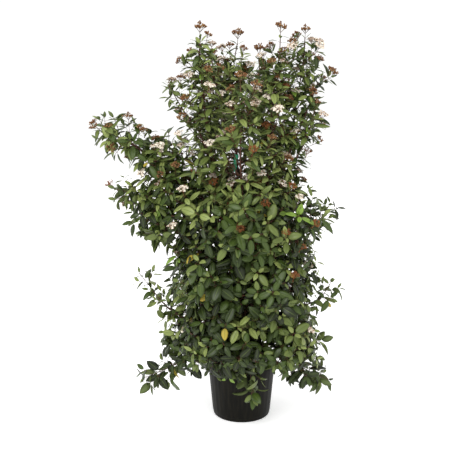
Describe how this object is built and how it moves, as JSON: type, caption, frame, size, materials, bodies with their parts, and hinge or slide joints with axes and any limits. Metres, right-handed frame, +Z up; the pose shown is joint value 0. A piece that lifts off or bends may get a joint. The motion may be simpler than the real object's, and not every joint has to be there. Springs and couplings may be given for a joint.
{
  "type": "potted flowering shrub",
  "caption": "Upright laurustinus shrub in a round nursery pot, with dense evergreen foliage to the rim, a wing of growth to one side and tall leading shoots in flower.",
  "frame": {"origin": "centre of the pot's flat underside", "axes": "+Z up along the pot's axis; -Y is the side of the plant that the picture shows and +X its right"},
  "size_m": [1.0998, 0.7697, 1.725],
  "materials": {
    "pot_plastic": "satin black moulded polypropylene",
    "compost": "moist peat compost, matt",
    "bark": "matt brown bark",
    "foliage": "leathery evergreen leaves"
  },
  "bodies": {
    "root": {"bough_fork_1": "bark", "bough_fork_2": "bark", "bough_fork_3": "bark", "bough_fork_4": "bark", "bough_right_sprig": "bark", "bough_right_tip": "bark", "bough_side_branch": "bark", "bough_upper_left": "bark", "bough_upper_right": "bark", "compost": "compost", "foliage_collar_1": "foliage", "foliage_collar_2": "foliage", "foliage_collar_3": "foliage", "foliage_collar_4": "foliage", "foliage_foot_left": "foliage", "foliage_foot_right": "foliage", "foliage_low_wing": "foliage", "foliage_low_wing_root": "foliage", "foliage_right_flank": "foliage", "foliage_right_sprig": "foliage", "foliage_right_tip": "foliage", "foliage_shoulder_1": "foliage", "foliage_shoulder_2": "foliage", "foliage_shoulder_3": "foliage", "foliage_shoulder_4": "foliage", "foliage_shoulder_5": "foliage", "foliage_side_branch": "foliage", "foliage_skirt_1": "foliage", "foliage_skirt_2": "foliage", "foliage_skirt_3": "foliage", "foliage_skirt_4": "foliage", "foliage_skirt_5": "foliage", "foliage_spire_back": "foliage", "foliage_spire_back_left": "foliage", "foliage_spire_far_right": "foliage", "foliage_spire_front": "foliage", "foliage_spire_left": "foliage", "foliage_spire_middle": "foliage", "foliage_spire_right": "foliage", "foliage_upper_left": "foliage", "foliage_upper_right": "foliage", "foliage_waist_1": "foliage", "foliage_waist_2": "foliage", "foliage_waist_3": "foliage", "foliage_waist_4": "foliage", "foliage_waist_5": "foliage", "foliage_wing": "foliage", "foliage_wing_root": "foliage", "foliage_wing_tip": "foliage", "pot": "pot_plastic", "stem_1": "bark", "stem_2": "bark", "stem_3": "bark", "stem_4": "bark", "stem_5": "bark", "stem_6": "bark", "stem_7": "bark"}
  },
  "joints": []
}
